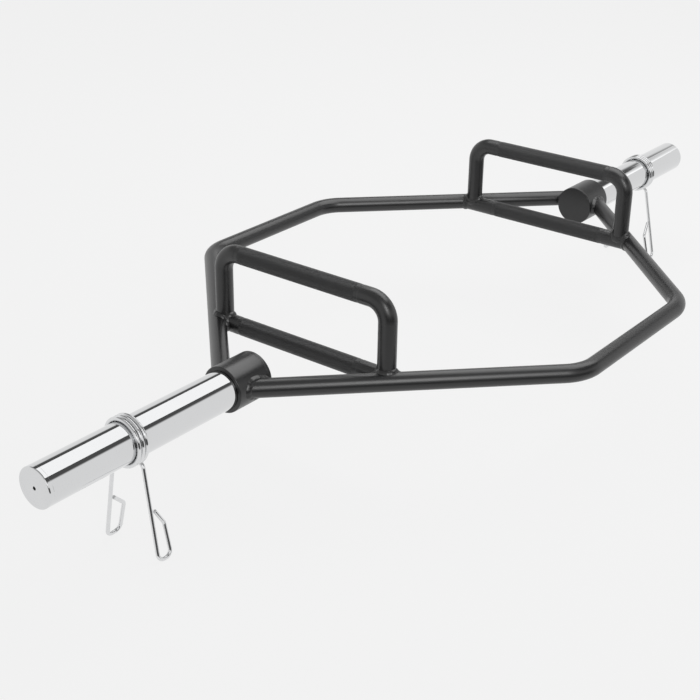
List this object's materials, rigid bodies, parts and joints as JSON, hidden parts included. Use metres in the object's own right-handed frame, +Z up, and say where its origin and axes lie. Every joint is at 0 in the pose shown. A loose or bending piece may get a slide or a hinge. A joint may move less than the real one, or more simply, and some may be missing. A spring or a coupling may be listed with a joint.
{
  "type": "hex trap bar",
  "caption": "Hexagonal lifting bar: bent round bar welded to hubs with chromed plate sleeves, raised and lower knurled grips inside the hexagon, and a wire spring clip on each sleeve.",
  "frame": {"origin": "below the middle of the hexagon, level with the lowest wire of the clips", "axes": "+X along the sleeves from the left end to the right end, -Y towards the front, +Z up; the grips run along Y and the raised grips lie above the plane of the hexagon"},
  "size_m": [1.48, 0.6532, 0.2607],
  "materials": {
    "black_paint": "satin black powder coat, over knurling on the grips",
    "chrome_plate": "polished chrome",
    "clip_wire": "bright plated spring wire"
  },
  "bodies": {
    "frame": {"front_frame_bar": "black_paint", "rear_frame_bar": "black_paint", "left_hub_collar": "black_paint", "left_hub_cap": "black_paint", "left_raised_handle": "black_paint", "left_lower_grip": "black_paint", "left_hub_welds": "black_paint", "left_handle_welds": "black_paint", "right_hub_collar": "black_paint", "right_hub_cap": "black_paint", "right_raised_handle": "black_paint", "right_lower_grip": "black_paint", "right_hub_welds": "black_paint", "right_handle_welds": "black_paint", "left_sleeve_tube": "chrome_plate", "left_sleeve_end_plug": "chrome_plate", "right_sleeve_tube": "chrome_plate", "right_sleeve_end_plug": "chrome_plate"},
    "left_clip": {"left_clip_coil": "clip_wire"},
    "left_front_arm": {"left_clip_front_arm": "clip_wire"},
    "left_rear_arm": {"left_clip_rear_arm": "clip_wire"},
    "right_clip": {"right_clip_coil": "clip_wire"},
    "right_front_arm": {"right_clip_front_arm": "clip_wire"},
    "right_rear_arm": {"right_clip_rear_arm": "clip_wire"}
  },
  "joints": [
    {"name": "left_clip_slide", "type": "slide", "parent": "frame", "child": "left_clip", "axis": [-1, 0, 0], "range_m": [-0.1445, 0.165]},
    {"name": "left_clip_roll", "type": "hinge", "parent": "left_clip", "child": "left_front_arm", "pos_m": [-0.608, 0, 0.1479], "axis": [1, 0, 0], "continuous": true, "deforming": ["left_clip_coil"]},
    {"name": "left_clip_squeeze", "type": "hinge", "parent": "left_front_arm", "child": "left_rear_arm", "pos_m": [-0.608, 0, 0.1479], "axis": [1, 0, 0], "range_deg": [-26, 0], "stiffness_Nm_per_rad": 20, "deforming": ["left_clip_coil"]},
    {"name": "right_clip_slide", "type": "slide", "parent": "frame", "child": "right_clip", "axis": [1, 0, 0], "range_m": [-0.1555, 0.154]},
    {"name": "right_clip_roll", "type": "hinge", "parent": "right_clip", "child": "right_front_arm", "pos_m": [0.619, 0, 0.1479], "axis": [1, 0, 0], "continuous": true, "deforming": ["right_clip_coil"]},
    {"name": "right_clip_squeeze", "type": "hinge", "parent": "right_front_arm", "child": "right_rear_arm", "pos_m": [0.619, 0, 0.1479], "axis": [1, 0, 0], "range_deg": [-26, 0], "stiffness_Nm_per_rad": 20, "deforming": ["right_clip_coil"]}
  ]
}
